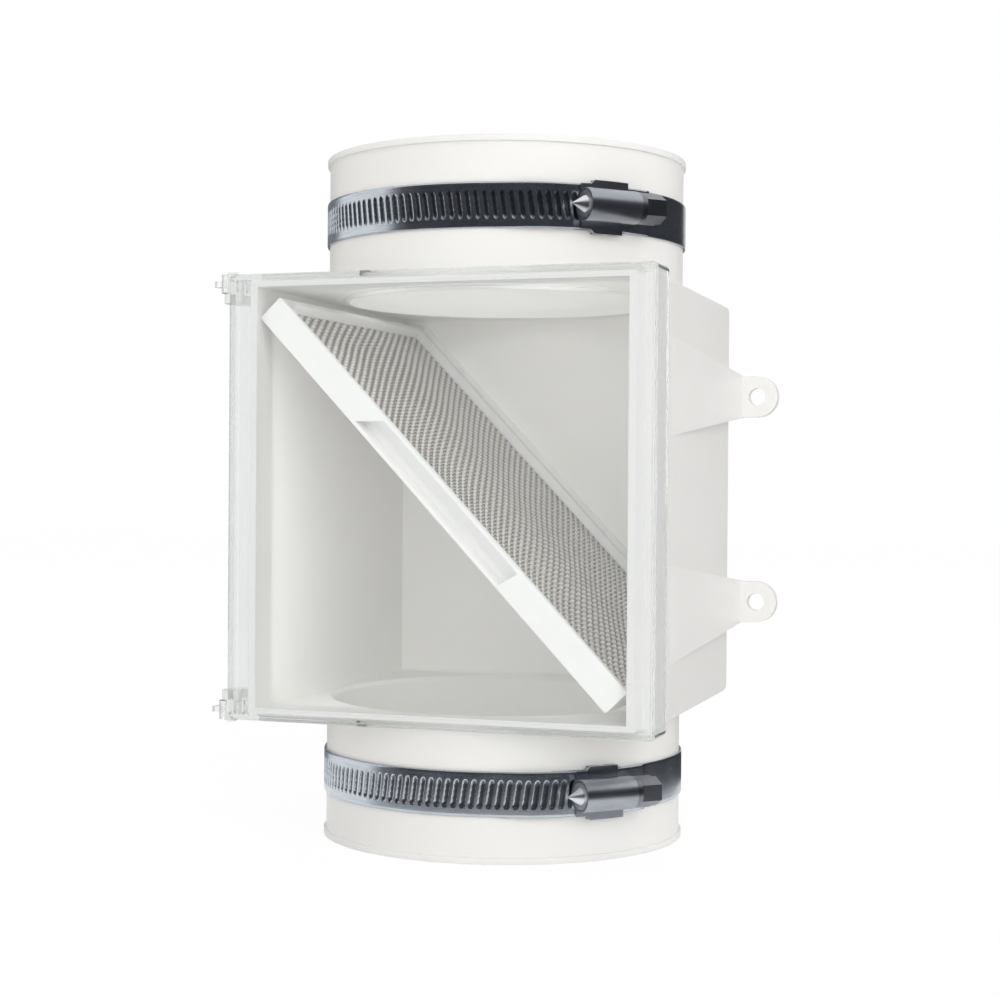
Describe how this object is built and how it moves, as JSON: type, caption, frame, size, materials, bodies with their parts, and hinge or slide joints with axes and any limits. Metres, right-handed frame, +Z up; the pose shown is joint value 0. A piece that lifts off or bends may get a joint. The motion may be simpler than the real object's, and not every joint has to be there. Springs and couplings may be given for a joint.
{
  "type": "dryer lint trap",
  "caption": "Square in-line lint trap box with round duct collars above and below, a clear hinged door, a slanted filter screen and worm-drive hose clamps.",
  "frame": {"origin": "centre of the lower collar's end plane, on the duct axis", "axes": "+Z up along the duct, -Y out of the door, +X to the right as seen from the door"},
  "size_m": [0.1394, 0.1091, 0.192],
  "materials": {
    "white_plastic": "satin",
    "clear_plastic": "clear",
    "mesh": "satin",
    "clamp_steel": "brushed",
    "screw_steel": "satin"
  },
  "bodies": {
    "box": {"housing": "white_plastic", "filter_frame": "white_plastic", "filter_screen": "mesh", "upper_clamp_band": "clamp_steel", "lower_clamp_band": "clamp_steel", "upper_clamp_saddle": "clamp_steel", "lower_clamp_saddle": "clamp_steel", "upper_clamp_hood": "clamp_steel", "lower_clamp_hood": "clamp_steel"},
    "door": {"door": "clear_plastic"},
    "upper_screw": {"upper_clamp_screw": "screw_steel"},
    "lower_screw": {"lower_clamp_screw": "screw_steel"}
  },
  "joints": [
    {"name": "door_hinge", "type": "hinge", "parent": "box", "child": "door", "pos_m": [-0.0629, -0.0484, 0.096], "axis": [0, 0, -1], "range_deg": [0, 170]},
    {"name": "upper_screw_turn", "type": "hinge", "parent": "box", "child": "upper_screw", "pos_m": [0.04196, -0.03805, 0.1735], "axis": [0.6717, 0.7408, 0], "continuous": true},
    {"name": "lower_screw_turn", "type": "hinge", "parent": "box", "child": "lower_screw", "pos_m": [0.04196, -0.03805, 0.0185], "axis": [0.6717, 0.7408, 0], "continuous": true}
  ]
}
